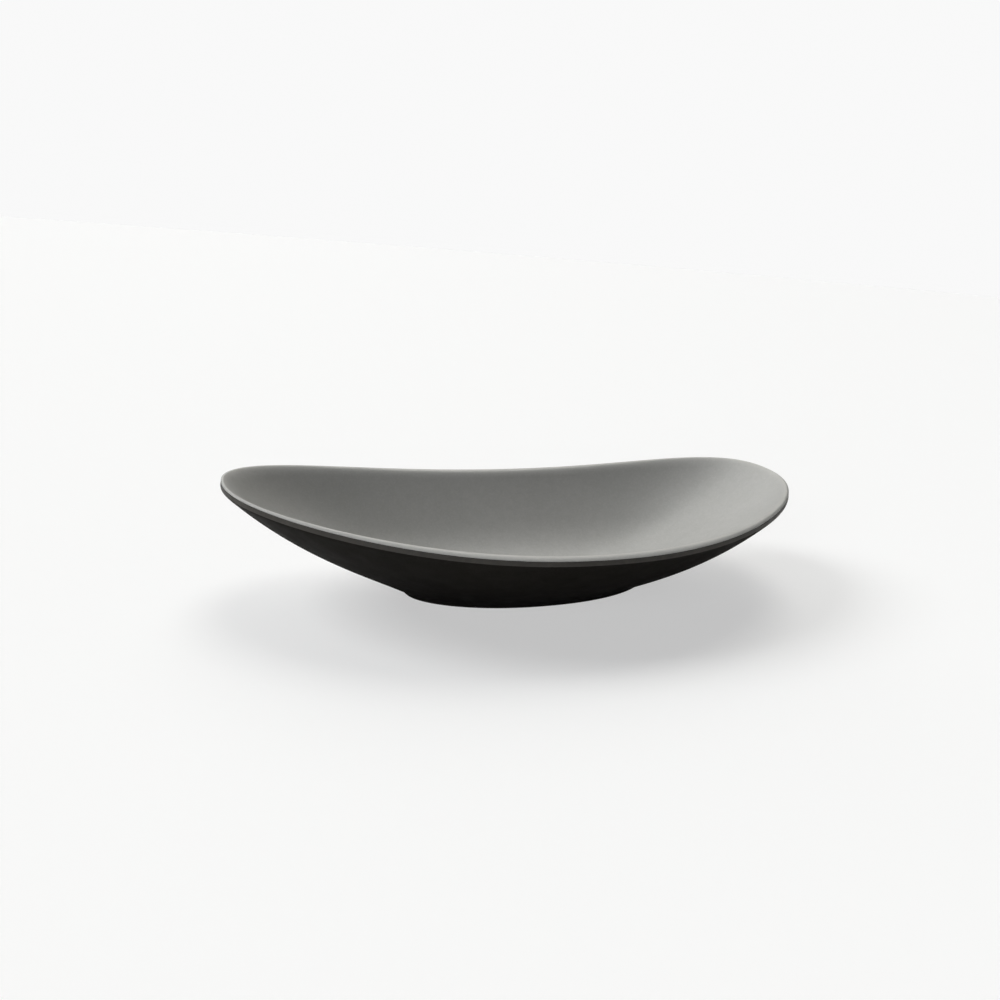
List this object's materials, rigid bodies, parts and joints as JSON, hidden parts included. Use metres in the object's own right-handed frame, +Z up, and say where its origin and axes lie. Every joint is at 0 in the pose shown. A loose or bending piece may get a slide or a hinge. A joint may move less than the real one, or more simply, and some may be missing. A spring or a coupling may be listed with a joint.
{
  "type": "kidney dish",
  "caption": "Shallow kidney-shaped bowl with swept-up rounded ends, a crowned rim and a low oval foot, grey inside and black outside.",
  "frame": {"origin": "on the ground under the middle of the dish's bounding box", "axes": "+X along the dish, +Y from the convex long side to the concave one, +Z up"},
  "size_m": [0.2506, 0.121, 0.0474],
  "materials": {
    "black_matt_moulding": "matt moulded, near black, faint orange peel",
    "grey_matt_moulding": "matt moulded, mid grey with a faint mottle"
  },
  "bodies": {
    "root": {"outer_shell": "black_matt_moulding", "inner_shell": "grey_matt_moulding"}
  },
  "joints": []
}
